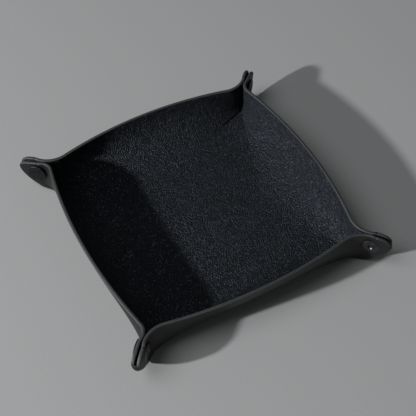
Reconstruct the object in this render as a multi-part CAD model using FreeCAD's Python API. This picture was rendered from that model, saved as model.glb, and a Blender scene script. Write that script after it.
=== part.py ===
# Valet tray: a square of leather with its corners pinched into fins and held by four snap fasteners.
# Millimetres and degrees, +Z up, origin on the ground under the middle of the floor, front along -Y.
import FreeCAD, Part
import math
import os

os.makedirs("parts", exist_ok=True)

# Leather
leather = 2.4             # thickness
fold_line = 87.0          # centre to where floor and wall would meet in a sharp crease, half way along
wall_lean = 80.0          # steepness of a wall half way along
bend_radius = 18.0        # soft bend at the foot of a wall, to mid thickness
wall_straight = 15.5      # flat stretch of a wall above its bend
corner_inset = 0.6        # how much nearer the centre the ends of a wall are than the fold line
corner_pinch = 2.9        # how much further in the ends of a wall are at the top
corner_height = 28.8      # top edge at the corners, above the floor's mid thickness
corner_steepness = 75.0   # steepness of the floor's upturned edge at its ends
corner_bend = 6.0         # bend between wall and ear, to mid thickness
relief_play = 1.0         # room around that bend, in the floor's round notch
underside_wear = 0.05     # pressed flat under the floor
parting = 0.25            # clearance where two parts of the sheet meet

# Ears, sizes in the upright plane of a corner's fin
ear_gap = 1.6             # space between two ears
crease_lead = 2.2         # corner of the fold lines to where the line between two ears meets the floor
crease_rise = 46.5        # steepness of that line
tip_round = 9.0           # rounding of the sheet's corner
tip_ease = 3.5            # rounding of an ear's own tip

# Snap fasteners
fit = 0.1                 # clearance of the metal pieces
dent = 0.5                # how deep socket and stud flange are pressed into the leather
rim_round = 0.4           # easing of the metal rims
cap_diameter = 15.0
cap_height = 1.7
cap_edge = 0.5            # underside of the cap's rim, above the leather
cap_seat = 8.0            # diameter of the cap's flat underside
cap_middle = 9.0          # diameter of the cap's flatter middle
dome_fall = 0.12          # from the cap's top to the edge of its middle
cap_tuck = 0.3            # how far the cap's rim reaches over the bend beside it
cap_margin = 2.5          # leather left between the cap and the top edge
post_diameter = 3.6
post_flare = 0.8          # how far the cap's post spreads over the socket's plate
flare_height = 0.25
barrel_wall = 0.35
barrel_flare = 0.3        # how far the eyelet's barrel spreads inside the stud
stud_flange = 11.6        # diameter
flange_height = 0.4
stud_wall = 0.4
head_bulge = 0.4          # how far the stud's head stands out from its neck
head_height = 0.45
spring_wire = 0.7
spring_play = 0.15        # room between neck and spring
spring_room = 0.75        # room for the spring to widen
mouth_play = 0.25         # room between the stud's head and the socket's mouth
socket_wall = 1.5
socket_plate = 0.35
socket_lip = 0.2
eyelet_diameter = 12.7
eyelet_height = 0.9
eyelet_hole = 4.4

# Worked-out values of the sheet
half = leather / 2
lean = math.radians(wall_lean)
split = lean / 2
bend_start = fold_line - bend_radius * math.tan(lean / 2)
part_height = half + bend_radius * (1 - math.cos(split))
part_middle = bend_start + bend_radius * math.sin(split)
arc_length = bend_radius * (lean - split)
wall_length = arc_length + wall_straight
corner_foot = fold_line - corner_inset
corner_relief = corner_bend + relief_play
top_height = half + corner_height
corner_slope = corner_pinch / (top_height - part_height)
ear_turn = math.radians(45)
hinge_turn = ear_turn / 2
parting_turn = parting / 2 / corner_bend
face_inner = ear_gap / 2
face_outer = face_inner + leather
ear_offset = face_inner + half
root_two = math.sqrt(2)
crease_start = corner_foot * root_two - crease_lead

# Worked-out values of the snaps: radii, and distances from the fin's middle plane
snap_reach = crease_start + cap_diameter / 2 - cap_tuck
snap_height = top_height - cap_diameter / 2 - cap_margin
post = post_diameter / 2
barrel_end = post + barrel_flare
stud_hollow = barrel_end + fit
stud_neck = stud_hollow + stud_wall
stud_head = stud_neck + head_bulge
spring_centre = stud_neck + spring_play + spring_wire / 2
socket_mouth = stud_head + mouth_play
socket_bore = spring_centre + spring_wire / 2 + spring_room
socket_rim = socket_bore + socket_wall
seat = face_inner + dent
plate_inside = seat - socket_plate
flange_front = flange_height - seat
socket_end = flange_front + fit
stud_top = plate_inside - flare_height - fit

# Shares of the grids that the bent pieces are drawn through
curve_share = 0.86        # share of a wall's length on its long bow
bow_places = (0.17, 0.34, 0.5, 0.65, 0.79, 0.91, 1.0)
bend_places = (0.25, 0.5, 0.75, 1.0)
floor_places = (0.25, 0.5, 0.68, 0.76, 0.82, 0.86, 0.9, 0.93, 0.95, 0.97, 0.985, 1.0)
wall_levels = 12
settle_steps = 30
slope_step = 1e-4

# Upright plane of the front right fin: along it outwards, and across it to the front wall's ear
# or to the right wall's, which carries the cap
up = FreeCAD.Vector(0, 0, 1)
origin = FreeCAD.Vector(0, 0, 0)
sideways = FreeCAD.Vector(1, 0, 0)
backwards = FreeCAD.Vector(0, 1, 0)
fin_out = FreeCAD.Vector(1, -1, 0).normalize()
ear_side = FreeCAD.Vector(-1, -1, 0).normalize()
cap_side = ear_side * -1


def vector(x, out, z):
    # Point of the front side, given along the wall, outwards and up
    return FreeCAD.Vector(x, -out, z)


def middle_profile(s):
    # Wall section half way along: rest of the foot bend, then straight
    run = s * wall_length
    turn = min(run, arc_length) / bend_radius + split
    rest = max(0.0, run - arc_length)
    out = bend_start + bend_radius * math.sin(turn) + rest * math.cos(lean)
    z = half + bend_radius * (1 - math.cos(turn)) + rest * math.sin(lean)
    return out, z


def corner_centre(z):
    # Centre of the bend between wall and ear, on the outer side, leaning in as it rises
    wall_out = corner_foot - (z - part_height) * corner_slope
    out = wall_out + corner_bend
    x = out - (ear_offset + corner_bend) * root_two
    return x, out


def bend_point(z, turn, radius):
    # Point on the bend at a given turn from the wall's direction
    x, out = corner_centre(z)
    return x + radius * math.sin(turn), out - radius * math.cos(turn)


def level_turn(z, middle_out):
    # Direction in which a level line leaves the corner bend towards the middle
    x, out = corner_centre(z)
    turn = 0.0
    for step in range(settle_steps):
        rise = middle_out - out + corner_bend * math.cos(turn)
        turn = math.atan(2 * rise / (x - corner_bend * math.sin(turn)))
    return turn


def wall_point(t, s):
    # t runs from end to end, -1 to 1, and s from the parting line to the rim, 0 to 1
    middle_out, middle_z = middle_profile(s)
    corner_z = part_height + s * (top_height - part_height)
    turn = level_turn(corner_z, middle_out)
    start_x, start_out = bend_point(corner_z, -turn, corner_bend)
    side = abs(t)
    if side <= curve_share:
        share = side / curve_share
        x = start_x * share
        out = middle_out + (start_out - middle_out) * share ** 2
        z = middle_z + (corner_z - middle_z) * share ** 2
    else:
        share = (side - curve_share) / (1 - curve_share)
        end_turn = hinge_turn - parting_turn
        x, out = bend_point(corner_z, -turn + (end_turn + turn) * share, corner_bend)
        z = corner_z
    return vector(math.copysign(x, t), out, z)


def part_line(x):
    # Distance of the parting line from the centre, at a place along the wall
    return part_middle + (corner_foot - part_middle) * min(1.0, abs(x) / corner_foot) ** 2


def edge_rise(x, out):
    # Height of the floor's upturned edge: a power curve as wide as an arc of the same end slope,
    # tighter towards the corners
    share = min(1.0, abs(x) / corner_foot) ** 2
    turn = split + (math.radians(corner_steepness) - split) * share
    height = part_height - half
    width = height * math.sin(turn) / (1 - math.cos(turn))
    power = math.tan(turn) * width / height
    run = abs(out) - (part_line(x) - width)
    return height * min(max(run / width, 0.0), 1.0) ** power


def floor_point(p, q):
    # p and q run over the floor from edge to edge, -1 to 1
    x = p * (part_line(q * corner_foot) - parting)
    y = q * (part_line(p * corner_foot) - parting)
    rise = (edge_rise(y, x) ** 4 + edge_rise(x, y) ** 4) ** 0.25
    return FreeCAD.Vector(x, y, half + rise)


def thick_patch(point, first, second):
    # Solid around a surface: faces half a thickness off it on both sides, joined along the four edges
    sides = []
    for shift in (-half, half):
        grid = []
        for a in first:
            row = []
            for b in second:
                ahead = min(a + slope_step, first[-1])
                behind = max(a - slope_step, first[0])
                along = point(ahead, b) - point(behind, b)
                above = min(b + slope_step, second[-1])
                below = max(b - slope_step, second[0])
                across = point(a, above) - point(a, below)
                normal = along.cross(across)
                normal.normalize()
                row.append(point(a, b) + normal * shift)
            grid.append(row)
        surface = Part.BSplineSurface()
        surface.interpolate(grid)
        sides.append(surface)
    faces = [surface.toShape() for surface in sides]
    u0, u1, v0, v1 = sides[0].bounds()
    w0, w1, y0, y1 = sides[1].bounds()
    for one, two in ((u0, w0), (u1, w1)):
        faces.append(Part.makeRuledSurface(sides[0].uIso(one).toShape(), sides[1].uIso(two).toShape()))
    for one, two in ((v0, y0), (v1, y1)):
        faces.append(Part.makeRuledSurface(sides[0].vIso(one).toShape(), sides[1].vIso(two).toShape()))
    shell = Part.makeShell(faces)
    shell.sewShape()
    solid = Part.makeSolid(shell)
    if solid.Volume < 0:
        solid.reverse()
    return solid


def both_ways(values):
    # A rising list of places, mirrored about zero
    return [-value for value in reversed(values)] + [0.0] + list(values)


def make_wall():
    bow = [curve_share * share for share in bow_places]
    bend = [curve_share + (1 - curve_share) * share for share in bend_places]
    levels = [level / wall_levels for level in range(wall_levels + 1)]
    return thick_patch(wall_point, both_ways(bow + bend), levels)


def make_floor():
    # Upturned at its edges, pressed flat underneath, with a round notch at each corner
    lines = both_ways(floor_places)
    floor = thick_patch(floor_point, lines, lines)
    floor.translate(up * -underside_wear)
    wide = 4 * corner_foot
    floor = floor.cut(Part.makeBox(wide, wide, wide, FreeCAD.Vector(-wide / 2, -wide / 2, -wide)))
    for x in (-corner_foot, corner_foot):
        for y in (-corner_foot, corner_foot):
            low = FreeCAD.Vector(x, y, -2 * top_height)
            floor = floor.cut(Part.makeCylinder(corner_relief, 4 * top_height, low))
    return floor


def fin_point(reach, height):
    return fin_out * reach + up * height


def ear_outline(inner_reach, foot_height):
    # Level top edge, rounded corner of the sheet, eased tip, then down along the crease line
    rise = math.radians(crease_rise)
    along = FreeCAD.Vector(math.cos(rise), math.sin(rise), 0)
    square = FreeCAD.Vector(along.y, -along.x, 0)
    centre_height = top_height - tip_round
    centre = FreeCAD.Vector(crease_start + (centre_height - half) / math.tan(rise), centre_height, 0)
    # Easing circle: touches the crease line from above and the tip arc from inside
    ease_run = math.sqrt((tip_round - tip_ease) ** 2 - tip_ease ** 2)
    ease = centre + along * ease_run - square * tip_ease
    touch = ease + (ease - centre).normalize() * tip_ease
    foot = ease + square * tip_ease
    between = ease + ((touch - ease).normalize() + square).normalize() * tip_ease
    top = centre + FreeCAD.Vector(0, tip_round, 0)
    shoulder_turn = (math.atan2(touch.y - centre.y, touch.x - centre.x) + math.pi / 2) / 2
    shoulder = centre + FreeCAD.Vector(math.cos(shoulder_turn), math.sin(shoulder_turn), 0) * tip_round
    low = foot - along * ((foot.y - foot_height) / math.sin(rise))
    corner = FreeCAD.Vector(inner_reach, foot_height, 0)
    start = FreeCAD.Vector(inner_reach, top_height, 0)
    place = [fin_point(p.x, p.y) for p in (start, top, shoulder, touch, between, foot, low, corner)]
    edges = [Part.makeLine(place[0], place[1])]
    edges.append(Part.Arc(place[1], place[2], place[3]).toShape())
    edges.append(Part.Arc(place[3], place[4], place[5]).toShape())
    edges.append(Part.makeLine(place[5], place[6]))
    edges.append(Part.makeLine(place[6], place[7]))
    edges.append(Part.makeLine(place[7], place[0]))
    return Part.Wire(edges)


def make_ear(dent_radius):
    # Front wall's right ear: half of its bend and a flat lobe beside the fin's plane
    start_turn = hinge_turn + parting_turn
    middle_turn = (start_turn + ear_turn) / 2
    corners = []
    for radius in (corner_bend + half, corner_bend - half):
        for turn in (start_turn, middle_turn, ear_turn):
            x, out = bend_point(0.0, turn, radius)
            corners.append(vector(x, out, 0.0))
    straight = fin_out * crease_start
    edges = [Part.Arc(corners[0], corners[1], corners[2]).toShape()]
    edges.append(Part.makeLine(corners[2], corners[2] + straight))
    edges.append(Part.makeLine(corners[2] + straight, corners[5] + straight))
    edges.append(Part.makeLine(corners[5] + straight, corners[5]))
    edges.append(Part.Arc(corners[5], corners[4], corners[3]).toShape())
    edges.append(Part.makeLine(corners[3], corners[0]))
    slope = vector(-corner_slope, -corner_slope, 1.0) * (2 * top_height)
    strip = Part.Face(Part.Wire(edges)).extrude(slope)
    outline = Part.Face(ear_outline(crease_start - 2 * top_height, part_height + parting))
    reach = 4 * (corner_bend + ear_offset)
    ear = strip.common(outline.extrude(ear_side * reach))
    axis = fin_point(snap_reach, snap_height)
    ear = ear.cut(Part.makeCylinder(post + fit, reach, axis, ear_side))
    return ear.cut(Part.makeCylinder(dent_radius + fit, seat, axis, ear_side))


def turned(points):
    # Solid of revolution: radius, and distance from the fin's middle plane towards the cap
    axis = fin_point(snap_reach, snap_height)
    corners = [axis + up * radius + cap_side * aside for radius, aside in points]
    solid = Part.Face(Part.makePolygon(corners + corners[:1])).revolve(axis, cap_side, 360)
    if solid.Volume < 0:
        solid.reverse()
    return solid


def make_cap():
    # Low dome with a rolled rim, and a post through the leather, flared over the socket's plate
    rim = cap_diameter / 2
    middle = cap_middle / 2
    seated = cap_seat / 2
    crown = face_outer + cap_height
    under = face_outer + cap_edge
    spread = post + post_flare
    end = plate_inside - flare_height
    points = [(0, crown), (middle, crown - dome_fall), (rim - rim_round, crown - 2 * dome_fall)]
    points += [(rim, under + rim_round), (rim - rim_round / 2, under), (seated + cap_edge, under)]
    points += [(seated, face_outer), (post, face_outer), (post, plate_inside)]
    points += [(spread, plate_inside), (spread, end), (0, end)]
    return turned(points)


def make_socket():
    # Plate against the leather, rim, and a lip at the mouth that keeps the spring in
    lip = socket_end + socket_lip
    points = [(post, seat), (socket_rim, seat), (socket_rim, socket_end + rim_round)]
    points += [(socket_rim - rim_round, socket_end), (socket_mouth, socket_end), (socket_mouth, lip)]
    points += [(socket_bore, lip), (socket_bore, plate_inside), (post, plate_inside)]
    return turned(points)


def make_spring():
    # Wire ring that rests on the socket's lip and grips the stud's neck
    aside = socket_end + socket_lip + spring_wire / 2
    middle = fin_point(snap_reach, snap_height) + cap_side * aside
    return Part.makeTorus(spring_centre, spring_wire / 2, middle, cap_side)


def make_stud():
    # Flange against the leather, neck, and a bulged hollow head
    rim = stud_flange / 2
    points = [(post, -seat), (rim, -seat), (rim, flange_front), (stud_neck, flange_front)]
    points += [(stud_neck, stud_top - head_height), (stud_head, stud_top - head_height / 2)]
    points += [(stud_head - rim_round, stud_top), (stud_hollow, stud_top)]
    points += [(stud_hollow, flange_front), (post, flange_front)]
    return turned(points)


def make_eyelet():
    # Rounded flange with a funnel in the middle, and a barrel flared inside the stud
    rim = eyelet_diameter / 2
    hole = post - barrel_wall
    funnel = eyelet_hole / 2
    back = -face_outer
    crown = back - eyelet_height
    end = flange_front + flare_height
    points = [(hole, end), (barrel_end, end), (barrel_end, flange_front), (post, flange_front)]
    points += [(post, back), (rim - rim_round / 2, back), (rim, back - rim_round / 2)]
    points += [(rim - rim_round, back - rim_round), (funnel + rim_round, crown)]
    points += [(funnel, crown + rim_round / 2), (hole, back)]
    return turned(points)


def quarter_turns(shape, count):
    # Copy turned about the tray's middle, a quarter turn anticlockwise at a time
    copy = shape.copy()
    copy.rotate(origin, up, 90 * count)
    return copy


def export(name, shape):
    shape.exportStep("parts/" + name + ".step")
    print(name, len(shape.Solids), shape.isValid(), round(shape.Volume, 2))


export("floor_panel", make_floor())

# Each wall with the neighbours at its far and near end, counted anticlockwise from above
walls = (
    ("front", "right", "left", stud_flange / 2),
    ("right", "back", "front", socket_rim),
    ("back", "left", "right", stud_flange / 2),
    ("left", "front", "back", socket_rim),
)
wall = make_wall()
for count, (name, far, near, dent_radius) in enumerate(walls):
    ear = make_ear(dent_radius)
    export(name + "_wall", quarter_turns(wall, count))
    export(name + "_wall_" + far + "_ear", quarter_turns(ear, count))
    export(name + "_wall_" + near + "_ear", quarter_turns(ear.mirror(origin, sideways), count))

snap = {
    "cap": make_cap(),
    "socket": make_socket(),
    "spring": make_spring(),
    "stud": make_stud(),
    "eyelet": make_eyelet(),
}
for piece, shape in snap.items():
    left = shape.mirror(origin, sideways)
    export("snap_" + piece + "_front_right", shape)
    export("snap_" + piece + "_front_left", left)
    export("snap_" + piece + "_back_right", shape.mirror(origin, backwards))
    export("snap_" + piece + "_back_left", left.mirror(origin, backwards))
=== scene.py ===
import bpy
import numpy as np
from mathutils import Matrix


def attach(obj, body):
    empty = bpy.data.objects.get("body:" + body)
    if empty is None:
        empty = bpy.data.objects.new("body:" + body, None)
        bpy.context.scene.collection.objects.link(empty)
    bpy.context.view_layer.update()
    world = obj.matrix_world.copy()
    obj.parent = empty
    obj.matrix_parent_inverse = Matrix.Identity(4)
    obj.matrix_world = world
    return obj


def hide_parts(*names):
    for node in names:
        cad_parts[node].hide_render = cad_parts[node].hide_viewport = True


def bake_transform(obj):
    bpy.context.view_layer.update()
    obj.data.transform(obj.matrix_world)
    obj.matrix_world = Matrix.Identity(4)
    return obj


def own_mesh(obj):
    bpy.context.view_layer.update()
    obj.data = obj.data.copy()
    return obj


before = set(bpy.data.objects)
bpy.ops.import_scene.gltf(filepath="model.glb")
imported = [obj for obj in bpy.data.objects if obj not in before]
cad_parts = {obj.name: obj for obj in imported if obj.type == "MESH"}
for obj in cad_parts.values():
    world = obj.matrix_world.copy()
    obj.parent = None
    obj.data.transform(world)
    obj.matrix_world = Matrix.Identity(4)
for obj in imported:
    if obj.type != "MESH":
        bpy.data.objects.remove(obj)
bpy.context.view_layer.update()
print("frame loaded,", len(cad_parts), "nodes")

milli = 0.001
rootTwo = np.sqrt(2.0)


# Leather as a sheet with thickness

leather = {
    "thick": 2.4,       # mm
    "edgeRound": 0.55,  # how far a cut edge swells at mid thickness
    "bandSteps": 6,     # faces across a cut edge
    "sharp": 58,        # degrees, edges steeper than this stay crisp
}


# vectors divided by their own lengths
def unit(v):
    return v / np.maximum(np.linalg.norm(v, axis=-1, keepdims=True), 1e-12)


# eased step: 0 before a, 1 after b, 3t^2 - 2t^3 between them
def ease(a, b, x):
    t = np.clip((x - a) / (b - a), 0.0, 1.0)
    return t * t * (3.0 - 2.0 * t)


# direction across a grid's face, towards the tray's inside: cross product of its slopes along and up
def gridNormals(p):
    return unit(np.cross(np.gradient(p, axis=1), np.gradient(p, axis=0)))


# direction off a grid's side: last step towards it, less its parts along the side and across the face
def offEdge(side, inward, normal):
    step = side - inward
    along = unit(np.gradient(side, axis=0))
    step = step - along * np.sum(step * along, axis=1, keepdims=True)
    step = step - normal * np.sum(step * normal, axis=1, keepdims=True)
    return unit(step)


# Closed sheet from a grid of inner points and their outward directions: the inner grid, the same grid moved
# out by the thickness, and a band round the four sides that follows half an ellipse where the side is a cut
# edge. cut names the cut sides and how much of the swelling each point of a side has.
def thickSheet(p, n, cut):
    rows, cols = p.shape[:2]
    t = leather["thick"]
    steps = leather["bandSteps"]
    outer = p + n * t
    outer[..., 2] = np.maximum(outer[..., 2], 0.0)
    index = np.arange(rows * cols).reshape(rows, cols)
    loop = np.concatenate([index[0, :-1], index[:-1, -1], index[-1, :0:-1], index[:0:-1, 0]])
    swell = np.zeros((rows, cols, 3))
    sides = {
        "firstRow": (np.s_[0, :], np.s_[1, :]),
        "lastRow": (np.s_[-1, :], np.s_[-2, :]),
        "firstCol": (np.s_[:, 0], np.s_[:, 1]),
        "lastCol": (np.s_[:, -1], np.s_[:, -2]),
    }
    for name, amount in cut.items():
        at, inward = sides[name]
        amount = np.broadcast_to(amount, p[at].shape[:1])[:, None]
        swell[at] += offEdge(p[at], p[inward], unit(n[at])) * amount
    swell = swell / np.maximum(np.linalg.norm(swell, axis=-1, keepdims=True), 1.0)
    isCut = np.linalg.norm(swell, axis=-1).ravel() > 0.5
    innerLoop, outerLoop = p.reshape(-1, 3)[loop], outer.reshape(-1, 3)[loop]
    swellLoop = swell.reshape(-1, 3)[loop]
    phi = np.linspace(0.0, np.pi, steps + 1)[1:-1]
    share = (1.0 - np.cos(phi)) / 2.0
    rings = (innerLoop[None] + (outerLoop - innerLoop)[None] * share[:, None, None]
             + swellLoop[None] * (leather["edgeRound"] * np.sin(phi))[:, None, None])
    count = rows * cols
    points = np.concatenate([p.reshape(-1, 3), outer.reshape(-1, 3), rings.reshape(-1, 3)])
    across = np.concatenate([np.zeros(count), np.ones(count), np.repeat(share, len(loop))])
    ringIndex = 2 * count + np.arange((steps - 1) * len(loop)).reshape(steps - 1, len(loop))
    ladder = np.concatenate([loop[None], ringIndex, loop[None] + count])
    nextLadder = np.roll(ladder, -1, axis=1)
    a, b, c, d = index[:-1, :-1], index[:-1, 1:], index[1:, 1:], index[1:, :-1]
    inside = np.stack([a, d, c, b], axis=-1).reshape(-1, 4)
    outside = np.stack([a, b, c, d], axis=-1).reshape(-1, 4) + count
    band = np.stack([ladder[:-1], nextLadder[:-1], nextLadder[1:], ladder[1:]], axis=-1).reshape(-1, 4)
    bandCut = np.broadcast_to(isCut[loop] & isCut[np.roll(loop, -1)], (steps, len(loop))).ravel()
    faces = np.concatenate([inside, outside, band])
    # finishes: 0 grained inside, 1 satin outside, 2 painted edge
    paint = np.concatenate([np.zeros(len(inside), int), np.ones(len(outside), int), np.where(bandCut, 2, 1)])
    return points, faces, paint, across


# several shells as one: their lists end to end, with the point numbers of the faces moved on
def joinShells(shells):
    points, faces, paint, across = zip(*shells)
    starts = np.cumsum([0] + [len(p) for p in points[:-1]])
    faces = [f + start for f, start in zip(faces, starts)]
    return tuple(np.concatenate(part) for part in (points, faces, paint, across))


# object of leather from a shell, with its own finishes and smooth faces
def makePiece(name, shell, materials):
    points, faces, paint, across = shell
    mesh = bpy.data.meshes.new(name)
    mesh.from_pydata(points * milli, [], faces)
    mesh.polygons.foreach_set("material_index", paint.astype(np.int32))
    mesh.polygons.foreach_set("use_smooth", np.ones(len(faces), bool))
    for m in materials:
        mesh.materials.append(m)
    mesh.attributes.new("acrossEdge", "FLOAT", "POINT").data.foreach_set("value", across.astype(np.float32))
    mesh.update()
    mesh.set_sharp_from_angle(angle=np.radians(leather["sharp"]))
    piece = bpy.data.objects.new(name, mesh)
    bpy.context.scene.collection.objects.link(piece)
    return piece


# Finishes on Object coordinates; the edge's also follows how far across the edge a point lies

def newMaterial(name):
    material = bpy.data.materials.new(name)
    material.use_nodes = True
    nodes, links = material.node_tree.nodes, material.node_tree.links
    shader = next(n for n in nodes if n.type == "BSDF_PRINCIPLED")
    place = nodes.new("ShaderNodeTexCoord")
    return material, nodes, links, shader, place.outputs["Object"]


def noise(nodes, links, place, scale, detail=3.0, roughness=0.55):
    node = nodes.new("ShaderNodeTexNoise")
    node.inputs["Scale"].default_value = scale
    node.inputs["Detail"].default_value = detail
    node.inputs["Roughness"].default_value = roughness
    links.new(place, node.inputs["Vector"])
    return node.outputs["Fac"]


def ramp(nodes, links, value, stops):
    node = nodes.new("ShaderNodeValToRGB")
    bar = node.color_ramp
    bar.elements[0].position, bar.elements[0].color = stops[0][0], (*stops[0][1], 1)
    bar.elements[1].position, bar.elements[1].color = stops[-1][0], (*stops[-1][1], 1)
    for at, colour in stops[1:-1]:
        bar.elements.new(at).color = (*colour, 1)
    links.new(value, node.inputs["Fac"])
    return node.outputs["Color"]


def span(nodes, links, value, low, high, fromLow=0.0, fromHigh=1.0):
    node = nodes.new("ShaderNodeMapRange")
    node.inputs["From Min"].default_value = fromLow
    node.inputs["From Max"].default_value = fromHigh
    node.inputs["To Min"].default_value = low
    node.inputs["To Max"].default_value = high
    links.new(value, node.inputs["Value"])
    return node.outputs["Result"]


def bump(nodes, links, height, strength, distance, under=None):
    node = nodes.new("ShaderNodeBump")
    node.inputs["Strength"].default_value = strength
    node.inputs["Distance"].default_value = distance
    links.new(height, node.inputs["Height"])
    if under is not None:
        links.new(under, node.inputs["Normal"])
    return node.outputs["Normal"]


grain = {
    "cell": 1080, "depth": 0.0007, "strength": 1.0,    # pebbles to the metre, their height in metres
    "smooth": 0.35, "pebble": (0.05, 0.75),            # how round a pebble's top is
    "wander": 0.0011, "wanderScale": 260,              # cells pulled about a little, so that no rows show
    "pores": (2600, 0.25, 0.00006),                    # scale, strength, height
    "cloudScale": 26, "dark": (0.0020, 0.0024, 0.0033), "light": (0.0042, 0.0049, 0.0064),
    "paintedGlint": (0.120, 0.132, 0.160), "paintedGlintFrom": (0.68, 0.90), "paintedGlintRound": (0.1, 0.55),   # painted glints: chosen pebble tops made lighter in the base colour, standing in for sparkle
    "rough": (0.42, 0.60), "shine": 0.36, "tint": (0.76, 0.87, 1.0),
}


def grainedLeather():
    material, nodes, links, shader, place = newMaterial("leatherGrained")
    bend = nodes.new("ShaderNodeVectorMath")
    bend.operation = "MULTIPLY_ADD"
    wander = nodes.new("ShaderNodeTexNoise")
    wander.inputs["Scale"].default_value = grain["wanderScale"]
    links.new(place, wander.inputs["Vector"])
    bend.inputs[1].default_value = (grain["wander"],) * 3
    links.new(wander.outputs["Color"], bend.inputs[0])
    links.new(place, bend.inputs[2])
    cells = nodes.new("ShaderNodeTexVoronoi")
    cells.feature = "SMOOTH_F1"
    cells.inputs["Scale"].default_value = grain["cell"]
    cells.inputs["Smoothness"].default_value = grain["smooth"]
    links.new(bend.outputs["Vector"], cells.inputs["Vector"])
    pebble = span(nodes, links, cells.outputs["Distance"], 1.0, 0.0, *grain["pebble"])
    cloud = noise(nodes, links, place, grain["cloudScale"], 4.0)
    poreScale, poreStrength, poreDepth = grain["pores"]
    fine = noise(nodes, links, place, poreScale, 2.0)
    each = nodes.new("ShaderNodeTexVoronoi")   # picks the pebbles whose tops get a painted glint
    each.inputs["Scale"].default_value = grain["cell"]
    links.new(bend.outputs["Vector"], each.inputs["Vector"])
    paintedGlint = nodes.new("ShaderNodeMath")
    paintedGlint.operation = "MULTIPLY"
    links.new(span(nodes, links, each.outputs["Color"], 0.0, 1.0, *grain["paintedGlintFrom"]), paintedGlint.inputs[0])
    links.new(span(nodes, links, each.outputs["Distance"], 1.0, 0.0, *grain["paintedGlintRound"]), paintedGlint.inputs[1])
    # painted glints: the picked pebble tops mixed into the base colour, lightest at each pebble's middle
    mix = nodes.new("ShaderNodeMix")
    mix.data_type = "RGBA"
    links.new(paintedGlint.outputs[0], mix.inputs[0])
    links.new(ramp(nodes, links, cloud, [(0.25, grain["dark"]), (0.75, grain["light"])]), mix.inputs[6])
    mix.inputs[7].default_value = (*grain["paintedGlint"], 1)
    links.new(mix.outputs[2], shader.inputs["Base Color"])
    links.new(span(nodes, links, cells.outputs["Color"], *grain["rough"]), shader.inputs["Roughness"])
    low = bump(nodes, links, fine, poreStrength, poreDepth)
    links.new(bump(nodes, links, pebble, grain["strength"], grain["depth"], low), shader.inputs["Normal"])
    shader.inputs["Specular IOR Level"].default_value = grain["shine"]
    shader.inputs["Specular Tint"].default_value = (*grain["tint"], 1)
    return material


satin = {
    "cloudScale": 34, "dark": (0.0022, 0.0023, 0.0027), "light": (0.0048, 0.0050, 0.0056),
    "pores": (1500, 0.3, 0.00008), "rough": (0.42, 0.56), "shine": 0.4,
}


def satinLeather():
    material, nodes, links, shader, place = newMaterial("leatherSatin")
    cloud = noise(nodes, links, place, satin["cloudScale"], 5.0)
    poreScale, poreStrength, poreDepth = satin["pores"]
    pores = noise(nodes, links, place, poreScale, 3.0, 0.6)
    links.new(ramp(nodes, links, cloud, [(0.25, satin["dark"]), (0.75, satin["light"])]),
              shader.inputs["Base Color"])
    links.new(span(nodes, links, cloud, *satin["rough"], 0.25, 0.75), shader.inputs["Roughness"])
    links.new(bump(nodes, links, pores, poreStrength, poreDepth), shader.inputs["Normal"])
    shader.inputs["Specular IOR Level"].default_value = satin["shine"]
    return material


edge = {   # greys across the thickness, from the inside to the outside, with a darker line in the middle
    "layers": [(0.0, (0.022, 0.023, 0.025)), (0.3, (0.044, 0.046, 0.048)), (0.5, (0.014, 0.015, 0.016)),
               (0.7, (0.042, 0.044, 0.046)), (1.0, (0.018, 0.019, 0.021))],
    "fibreScale": 700, "fibreDark": 0.62, "rough": (0.5, 0.7), "bump": (0.35, 0.00012),
}


def edgePaint():
    material, nodes, links, shader, place = newMaterial("leatherEdgePaint")
    level = nodes.new("ShaderNodeAttribute")
    level.attribute_name = "acrossEdge"
    fibre = noise(nodes, links, place, edge["fibreScale"], 4.0, 0.7)
    layers = ramp(nodes, links, level.outputs["Fac"], edge["layers"])
    shade = ramp(nodes, links, fibre, [(0.3, (edge["fibreDark"],) * 3), (0.7, (1.0, 1.0, 1.0))])
    mix = nodes.new("ShaderNodeMix")
    mix.data_type = "RGBA"
    mix.blend_type = "MULTIPLY"
    mix.inputs["Factor"].default_value = 1.0
    links.new(layers, mix.inputs["A"])
    links.new(shade, mix.inputs["B"])
    links.new(mix.outputs["Result"], shader.inputs["Base Color"])
    links.new(span(nodes, links, fibre, *edge["rough"]), shader.inputs["Roughness"])
    links.new(bump(nodes, links, fibre, *edge["bump"]), shader.inputs["Normal"])
    return material


metal = {
    "wearScale": 420, "fineScale": 3200, "bump": (0.18, 0.00004),
    # dark and worn colour, roughness
    "snapGunmetal": ((0.018, 0.019, 0.021), (0.040, 0.042, 0.046), (0.42, 0.58)),
    "snapRubbedGunmetal": ((0.050, 0.052, 0.056), (0.100, 0.103, 0.110), (0.30, 0.44)),
    "snapSpringWire": ((0.42, 0.42, 0.43), (0.62, 0.62, 0.63), (0.2, 0.34)),
}


def snapMetal(name):
    dark, light, rough = metal[name]
    material, nodes, links, shader, place = newMaterial(name)
    wear = noise(nodes, links, place, metal["wearScale"], 5.0, 0.6)
    specks = noise(nodes, links, place, metal["fineScale"], 2.0)
    links.new(ramp(nodes, links, wear, [(0.3, dark), (0.72, light)]), shader.inputs["Base Color"])
    links.new(span(nodes, links, wear, *rough, 0.3, 0.7), shader.inputs["Roughness"])
    links.new(bump(nodes, links, specks, *metal["bump"]), shader.inputs["Normal"])
    shader.inputs["Metallic"].default_value = 1.0
    return material


grained, satinFace, painted = grainedLeather(), satinLeather(), edgePaint()
leatherFinish = [grained, satinFace, painted]
gunmetal = snapMetal("snapGunmetal")
snapFinish = {"eyelet": snapMetal("snapRubbedGunmetal"), "spring": snapMetal("snapSpringWire")}
for name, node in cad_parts.items():
    if name.startswith("snap_"):
        kind = name.split("_")[1]
        node.data.materials.clear()
        node.data.materials.append(snapFinish.get(kind, gunmetal))
print("materials done")


# Floor of the tray

floor = {"half": 52.0, "cells": 24}


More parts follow.
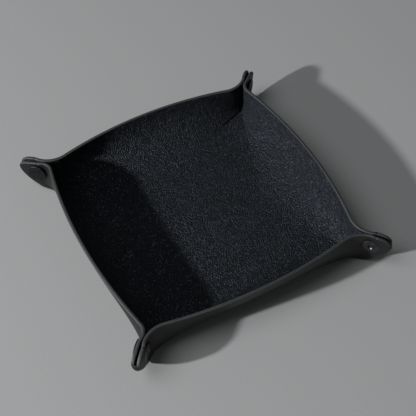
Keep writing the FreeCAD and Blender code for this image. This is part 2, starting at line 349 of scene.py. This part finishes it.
# flat square: x and y even steps between the seams, at the height of the leather's top
def floorPanel():
    steps = np.linspace(-floor["half"], floor["half"], floor["cells"] + 1)
    x, y = np.meshgrid(steps, steps[::-1])
    p = np.stack([x, y, np.full_like(x, leather["thick"])], axis=-1)
    n = np.broadcast_to(np.array([0.0, 0.0, -1.0]), p.shape)
    return thickSheet(p, n, {})


panel = makePiece("leatherFloor", floorPanel(), leatherFinish)
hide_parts("floor_panel")
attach(panel, "floor")
print("floor panel done")


# Walls and their ears, worked out for the front wall in millimetres: x along it, out from the middle, z up

wall = {
    # half way along and at the corners: where the foot bend starts, how steep the dished floor is there,
    # radius of the bend, steepness after it, straight stretch to the rim
    "middle": (67.4, 14.0, 31.0, 77.0, 4.5),
    "end": (78.0, 3.0, 6.5, 92.5, 20.2),
    "shares": (0.0, 0.36, 0.66, 1.0),              # of the way up: dished floor, foot bend, straight
    "earShare": 0.48,                              # where the ears begin
    "bowHalf": 82.0,                               # half the length of the bow between two corners
    "dishTurn": -30.0, "dishLength": 9.0,          # how the low rows turn in at a corner
    "dishFrom": (0.08, 0.34),
    "pinchFrom": 0.37,                             # where the rows begin to turn out into the fin
    # radius of that turn at the foot, beside the snap and at the rim, and the shares where they change over
    "footRadius": {"soft": 17.5, "tight": 12.0},
    "snapRadius": {"soft": 16.0, "tight": 10.0},
    "rimRadius": {"soft": 22.0, "tight": 10.0},
    "footToSnap": (0.5, 0.74), "snapToRim": (0.75, 1.08),
    "mitreLeast": 0.45, "mitreFrom": (0.5, 0.7),   # limits of the mitre on the diagonal
    "lowRows": 24, "highRows": 30, "columns": 72, "bendColumns": 14,
}
ear = {
    "gap": (0.1, 0.8), "gapRun": 5.0,  # to the fin's middle plane, at the pinch and further out
    "least": 0.4,                      # shortest row
    "crease": (119.3, 1.2, 1.0538),    # line between two ears: reach, height, steepness
    "tip": (134.1, 8.5),               # rounded tip: centre's reach, radius
    "tipEase": 1.4,                    # how softly crease and tip run together
    "droop": 2.2, "droopRun": 18.0,    # top edge sinks a little towards the tip
    "foldTop": 23.6, "foldFade": 4.0,  # height at which the two ears part
    "columns": 34,
}
fold = {
    "least": 0.4, "depth": 5.7, "lean": 1.6, "full": 0.5,   # how far it hangs below the ears
    "start": (73.0, 73.0, 2.5), "startOut": (0.0, 0.0, -0.9),   # under the floor's corner
    "hidden": 0.6, "hiddenRun": 0.5,   # how deep it begins in the leather above, and for how long
    "across": (0.725, -0.688),         # away from the ears' edge, in the fin's plane
    "innerLeast": 0.3, "innerGround": 1.4, "outerGround": 0.3,   # least depth, least heights of its faces
    "rows": 54, "legCells": 5, "wrapCells": 14,
}


# section through a wall: a shallow arc from the seam, the foot's tighter arc, then straight on
def section(share, start, rise, radius, turn, straight):
    s0, s1, s2, s3 = wall["shares"]
    rise, turn = np.radians(rise), np.radians(turn)
    dish = (start - floor["half"]) / np.sin(rise)
    first = rise * np.clip((share - s0) / (s1 - s0), 0, 1)
    second = rise + (turn - rise) * np.clip((share - s1) / (s2 - s1), 0, 1)
    rest = np.clip((share - s2) / (s3 - s2), 0, 1) * straight
    out = (floor["half"] + dish * np.sin(first) + radius * (np.sin(second) - np.sin(rise))
           + rest * np.cos(turn))
    z = (leather["thick"] + dish * (1 - np.cos(first)) + radius * (np.cos(rise) - np.cos(second))
         + rest * np.sin(turn))
    return out, z


# square root of the share of the height, so that rows stay level from the corners to the middle
def heightShare(z):
    return np.sqrt((z - z[0]) / (z[-1] - z[0]))


# rows of a wall, as shares of its height, closer together at the rim
firstHigh = wall["lowRows"]
towardsRim = np.sin(np.linspace(0, np.pi / 2, wall["highRows"] + 1)[1:])
rowShare = np.concatenate([np.linspace(0.0, wall["earShare"], wall["lowRows"] + 1),
                           wall["earShare"] + (1 - wall["earShare"]) * towardsRim])
endOut, endZ = section(rowShare, *wall["end"])
fineOut, fineZ = section(np.linspace(0, 1, 3001), *wall["middle"])
midOut = np.interp(heightShare(endZ), heightShare(fineZ), fineOut)
midZ = np.interp(heightShare(endZ), heightShare(fineZ), fineZ)
startTurn = -np.arctan(2.0 * (midOut - endOut) / wall["bowHalf"])   # slope of the bow where it ends


# reach of an ear's edge at a height: the softer of the crease line and the rounded tip
def earReach(z, top):
    crease = ear["crease"][0] + (z - ear["crease"][1]) / ear["crease"][2]
    centre, radius = ear["tip"]
    tip = centre + np.sqrt(np.maximum(radius ** 2 - np.maximum(z - (top - radius), 0.0) ** 2, 0.0))
    k = ear["tipEase"]
    return -k * np.log(np.exp(-crease / k) + np.exp(-tip / k))


# One end of a wall. Each row follows an arc that turns it by a signed angle, inwards low down for the dished
# corner and outwards above for the pinch, and starts where its end then lies on the diagonal; from there the
# rows of an ear run out along the diagonal to the ear's edge.
def wallEnd(kind):
    footRadius, snapRadius, rimRadius = (wall[at][kind] for at in ("footRadius", "snapRadius", "rimRadius"))
    pinched = ease(wall["pinchFrom"], wall["earShare"], rowShare)
    radius = (snapRadius + (rimRadius - snapRadius) * ease(*wall["snapToRim"], rowShare)
              + (footRadius - snapRadius) * (1 - ease(*wall["footToSnap"], rowShare)))
    dished = ease(*wall["dishFrom"], rowShare) * (1 - pinched)
    turn = np.radians(wall["dishTurn"]) * dished + np.pi / 4 * pinched
    length = wall["dishLength"] * (1 - pinched) + radius * (np.pi / 4 - startTurn) * pinched
    bend = (turn - startTurn) / length
    bend = np.where(np.abs(bend) < 1e-5, 1e-5, bend)   # never quite straight
    turn = startTurn + bend * length
    gap = ear["gap"][0] * pinched
    seam = (endOut + (np.cos(startTurn) - np.cos(turn) - np.sin(turn) + np.sin(startTurn)) / bend
            - gap * rootTwo)
    run = np.linspace(0.0, 1.0, wall["bendColumns"] + 1)[None] * length[:, None]
    angle = startTurn[:, None] + bend[:, None] * run
    corner = np.stack([seam[:, None] + (np.sin(angle) - np.sin(startTurn)[:, None]) / bend[:, None],
                       endOut[:, None] + (np.cos(startTurn)[:, None] - np.cos(angle)) / bend[:, None],
                       np.broadcast_to(endZ[:, None], run.shape)], axis=-1)
    height = endZ[firstHigh:]
    reachStart = (corner[firstHigh:, -1, 0] + corner[firstHigh:, -1, 1]) / rootTwo
    reachEnd = np.maximum(earReach(height, endZ[-1]), reachStart + ear["least"])
    v = np.linspace(0.0, 1.0, ear["columns"] + 1)[None]
    away = (reachEnd - reachStart)[:, None] * v
    reach = reachStart[:, None] + away
    side = ear["gap"][0] + (ear["gap"][1] - ear["gap"][0]) * ease(0.0, ear["gapRun"], away)
    upward = ((height - height[0]) / (height[-1] - height[0]))[:, None]
    droop = ear["droop"] * ease(0.0, ear["droopRun"], away) * upward
    fin = np.stack([(reach - side) / rootTwo, (reach + side) / rootTwo, height[:, None] - droop], axis=-1)
    return seam, corner, fin


# wall between its two ends: level rows that bow as 1 - u^2 from the end section to the middle one
def wallMiddle(seamRight, seamLeft):
    u = np.linspace(-1.0, 1.0, wall["columns"] + 1)
    bow = 1.0 - u ** 2
    x = np.where(u > 0, seamRight[:, None], seamLeft[:, None]) * u
    return np.stack([x, endOut[:, None] + (midOut - endOut)[:, None] * bow,
                     endZ[:, None] + (midZ - endZ)[:, None] * bow], axis=-1)


# mirror image: columns in reverse order and x with the other sign
def flip(p):
    return p[:, ::-1] * np.array([-1.0, 1.0, 1.0])


# outward directions; where two walls meet on the diagonal they are turned into the fin's plane, as in a mitre
def wallDirections(middle, right, left, fin):
    whole = np.concatenate([flip(left)[:, :-1], middle, right[:, 1:]], axis=1)
    n = -gridNormals(whole)
    count = right.shape[1] - 1
    corner = n[:, -count - 1:].copy()
    across = np.array([-1.0, 1.0, 0.0]) / rootTwo
    last = corner[:, -1]
    inPlane = last - np.sum(last * across, axis=1, keepdims=True) * across
    mitred = inPlane / np.maximum(np.sum(inPlane ** 2, axis=1, keepdims=True), wall["mitreLeast"])
    low, high = wall["mitreFrom"]
    keep = np.clip((np.linalg.norm(inPlane, axis=1, keepdims=True) - low) / (high - low), 0.0, 1.0)
    corner[:, -1] = mitred * keep + last * (1 - keep)
    earGrid = np.concatenate([right[firstHigh:, :-1], fin], axis=1)
    earDir = -gridNormals(earGrid)
    earDir[:, :count] = n[firstHigh:, -count - 1:-1]
    return n[:, count:-count], corner, earGrid, earDir


ends = {kind: wallEnd(kind) for kind in wall["rimRadius"]}
walls = [   # name, turns of a quarter, then ear and kind of bend at its right and left end, seen from outside
    ("front", 0, ("right", "soft"), ("left", "soft")),
    ("right", 1, ("back", "tight"), ("front", "soft")),
    ("back", 2, ("left", "soft"), ("right", "soft")),
    ("left", 3, ("front", "tight"), ("back", "tight")),
]


# front wall's (x, out, z) as a point of the tray, turned to the wall's own side
def toTray(p, quarter):
    p = np.asarray(p, float)
    x, y = p[..., 0], -p[..., 1]
    for _ in range(quarter):
        x, y = -y, x
    return np.stack([x, y, p[..., 2]], axis=-1)


# shell of the front wall, turned to another side
def placed(shell, quarter):
    return (toTray(shell[0], quarter), *shell[1:])


# lower edge of an ear: from under the floor's corner to the ear's foot, along it, then up its outer side;
# inner and outer points, evenly spaced, the inner ones first hidden in the leather above
def lowerEdge(grid, directions):
    top = int(np.searchsorted(grid[:, -1, 2], ear["foldTop"]))
    line = np.concatenate([[fold["start"]], grid[0], grid[1:top, -1]])
    out = np.concatenate([[fold["startOut"]], directions[0], directions[1:top, -1]])
    along = np.concatenate([[0.0], np.cumsum(np.linalg.norm(np.diff(line, axis=0), axis=1))])
    even = np.linspace(0.0, along[-1], fold["rows"] + 1)

    def pick(p):
        return np.stack([np.interp(even, along, p[:, k]) for k in range(3)], axis=-1)

    sunk = fold["hidden"] * (1 - ease(0.0, fold["hiddenRun"], even / along[-1]))[:, None]
    return pick(line) + sunk * leather["thick"] * pick(out), pick(line + leather["thick"] * out)


# wall with the low part of both corners, and its two ears
def wallShells(rightKind, leftKind):
    seamR, cornerR, finR = ends[rightKind]
    seamL, cornerL, finL = ends[leftKind]
    middle = wallMiddle(seamR, seamL)
    middleDir, dirR, earR, earDirR = wallDirections(middle, cornerR, cornerL, finR)
    _, dirL, earL, earDirL = wallDirections(flip(middle), cornerL, cornerR, finL)
    low = slice(0, firstHigh + 1)
    body = joinShells([
        thickSheet(middle, middleDir, {"lastRow": 1.0}),
        thickSheet(cornerR[low], dirR[low], {}),
        thickSheet(flip(cornerL[low]), flip(dirL[low]), {}),
    ])
    # lower down the two ears run into one fold
    parted = ease(ear["foldTop"] - ear["foldFade"], ear["foldTop"], earR[:, -1, 2])
    right = thickSheet(earR, earDirR, {"lastRow": 1.0, "lastCol": parted})
    left = thickSheet(flip(earL), flip(earDirL), {"lastRow": 1.0, "firstCol": parted})
    return body, right, left, (lowerEdge(earR, earDirR), lowerEdge(earL, earDirL))


lowerEdges = []
for name, quarter, (rightEnd, rightKind), (leftEnd, leftKind) in walls:
    body, rightEar, leftEar, edges = wallShells(rightKind, leftKind)
    lowerEdges.append(edges)
    piece = makePiece(name + "WallLeather", placed(body, quarter), leatherFinish)
    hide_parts(name + "_wall")
    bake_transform(piece)
    for end, shell, sign in ((rightEnd, rightEar, 1), (leftEnd, leftEar, -1)):
        piece = makePiece(name + "Wall" + end.capitalize() + "Ear", placed(shell, quarter), leatherFinish)
        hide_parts(f"{name}_wall_{end}_ear")
        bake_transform(piece)
print("walls and ears done")


# Soft fold that closes each corner under its two ears: rows follow the ears' lower edges, and columns go
# from one ear round under it to the other. It hangs below them by depth * sin(pi h^lean)^full, h the share of
# the edge's length, with straight sides and a half round; inner and outer face are two such sections, the
# leather's thickness apart.
def cornerFold(edgeA, edgeB):
    h = np.linspace(0.0, 1.0, fold["rows"] + 1)
    depth = fold["least"] + fold["depth"] * np.sin(np.pi * h ** fold["lean"]) ** fold["full"]
    legs, wraps = fold["legCells"], fold["wrapCells"]
    legDown = np.linspace(0, 1, legs + 1)[:-1]
    legPart = np.concatenate([legDown, np.ones(wraps + 1), legDown[::-1]])
    turn = np.concatenate([np.zeros(legs), np.linspace(0, np.pi, wraps + 1), np.full(legs, np.pi)])[None]

    # reach along the diagonal, distance from it and height of a line of points, as columns
    def finPlane(p):
        return ((p[:, :1] + p[:, 1:2]) / rootTwo, (p[:, 1:2] - p[:, :1]) / rootTwo, p[:, 2:3])

    def face(a, b, depthHere, ground):
        reachA, asideA, zA = finPlane(a)
        reachB, asideB, zB = finPlane(b[:, [1, 0, 2]])   # the neighbour's end, mirrored in the fin's plane
        first = turn <= np.pi / 2
        width = np.abs(np.where(first, asideA, asideB))
        middle = np.sin(turn)
        r = np.where(first, reachA, reachB) * (1 - middle) + (reachA + reachB) / 2 * middle
        z = np.where(first, zA, zB) * (1 - middle) + (zA + zB) / 2 * middle
        deep = depthHere[:, None]
        down = np.maximum(deep - width, 0) * legPart[None] + np.minimum(deep, width) * middle
        r = r + fold["across"][0] * down
        z = np.maximum(z + fold["across"][1] * down, ground)
        side = width * np.cos(turn)
        return np.stack([(r - side) / rootTwo, (r + side) / rootTwo, z], axis=-1)

    innerDepth = np.maximum(depth - leather["thick"], fold["innerLeast"])
    inner = face(edgeA[0], edgeB[0], innerDepth, fold["innerGround"])
    outer = face(edgeA[1], edgeB[1], depth, fold["outerGround"])
    return thickSheet(inner, (outer - inner) / leather["thick"], {})


for quarter, name in enumerate(("frontRight", "backRight", "backLeft", "frontLeft")):
    foldShell = cornerFold(lowerEdges[quarter][0], lowerEdges[(quarter + 1) % 4][1])
    piece = makePiece(name + "CornerFold", placed(foldShell, quarter), leatherFinish)
    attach(piece, "floor")
    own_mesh(piece)
print("corner folds done")


# Room: ground, two lamps and sky in metres, then the camera

room = {
    "half": 3.0, "cells": 12, "grey": (0.268, 0.272, 0.274), "mottle": (0.96, 1.04), "mottleScale": 900,
    "rough": 0.9, "shine": 0.15,
    "lampAt": (-2.19, 0.0, 0.965), "lampSize": 0.12, "lampPower": 88.0,
    "fillAt": (-1.3, 0.2, 2.0), "fillSize": 1.6, "fillPower": 26.0,   # wide, and not mirrored in the gloss
    "sky": (0.13, 0.132, 0.135),
}


# round lamp at a point, its face turned to the middle of the tray
def softLamp(name, at, size, power, inGloss=True):
    lamp = bpy.data.lights.new(name, "AREA")
    lamp.shape = "DISK"
    lamp.size = size
    lamp.energy = power
    piece = bpy.data.objects.new(name, lamp)
    piece.visible_glossy = inGloss
    bpy.context.scene.collection.objects.link(piece)
    at = np.array(at)
    aim = unit(-at)
    sideways = unit(np.cross(aim, np.array([0.0, 0.0, 1.0])))
    turn = np.eye(4)
    turn[:3] = np.stack([sideways, np.cross(sideways, aim), -aim, at], axis=1)
    piece.matrix_world = Matrix(turn)


def studio():
    points = room["cells"] + 1
    steps = np.linspace(-room["half"], room["half"], points)
    x, y = np.meshgrid(steps, steps)
    p = np.stack([x, y, np.zeros_like(x)], axis=-1).reshape(-1, 3)
    index = np.arange(points ** 2).reshape(points, points)
    corners = [index[:-1, :-1], index[:-1, 1:], index[1:, 1:], index[1:, :-1]]
    faces = np.stack(corners, axis=-1).reshape(-1, 4)
    mesh = bpy.data.meshes.new("stageFloor")
    mesh.from_pydata(p, [], faces)
    mesh.update()
    material, nodes, links, shader, place = newMaterial("stagePaper")
    mottle = noise(nodes, links, place, room["mottleScale"], 3.0)
    dark, light = (tuple(np.array(room["grey"]) * k) for k in room["mottle"])
    links.new(ramp(nodes, links, mottle, [(0.3, dark), (0.7, light)]), shader.inputs["Base Color"])
    shader.inputs["Roughness"].default_value = room["rough"]
    shader.inputs["Specular IOR Level"].default_value = room["shine"]
    mesh.materials.append(material)
    ground = bpy.data.objects.new("stageFloor", mesh)
    bpy.context.scene.collection.objects.link(ground)

    softLamp("keyLamp", room["lampAt"], room["lampSize"], room["lampPower"])
    softLamp("fillLamp", room["fillAt"], room["fillSize"], room["fillPower"], inGloss=False)

    world = bpy.data.worlds.new("studioSky")
    world.use_nodes = True
    sky = world.node_tree.nodes["Background"]
    sky.inputs["Color"].default_value = (*room["sky"], 1)
    sky.inputs["Strength"].default_value = 1.0
    bpy.context.scene.world = world


view = {   # angles in radians, focal length and frame in pixels, target and distance in millimetres
    "azimuth": -0.47083, "elevation": 0.89736, "roll": 0.03064,
    "focal": 976.30, "frame": 416, "sensor": 36.0, "target": (6.013, -1.982, 15.0), "distance": 721.03,
}


# camera looks along (-sin a cos e, cos a cos e, -sin e), rolled about that line, and stands the distance
# behind its target
def photoCamera():
    a, e, r = view["azimuth"], view["elevation"], view["roll"]
    ahead = np.array([-np.sin(a) * np.cos(e), np.cos(a) * np.cos(e), -np.sin(e)])
    level = np.array([np.cos(a), np.sin(a), 0.0])
    above = np.cross(level, ahead)
    sideways = np.cos(r) * level - np.sin(r) * above
    up = np.sin(r) * level + np.cos(r) * above
    turn = np.eye(4)
    turn[:3, 0], turn[:3, 1], turn[:3, 2] = sideways, up, -ahead
    turn[:3, 3] = (np.array(view["target"]) - ahead * view["distance"]) * milli
    data = bpy.data.cameras.new("photoCamera")
    data.sensor_width = view["sensor"]
    data.lens = view["focal"] * view["sensor"] / view["frame"]
    camera = bpy.data.objects.new("photoCamera", data)
    bpy.context.scene.collection.objects.link(camera)
    camera.matrix_world = Matrix(turn)
    bpy.context.scene.camera = camera


studio()
photoCamera()
bpy.context.scene.view_settings.view_transform = "Standard"
print("room and camera done")
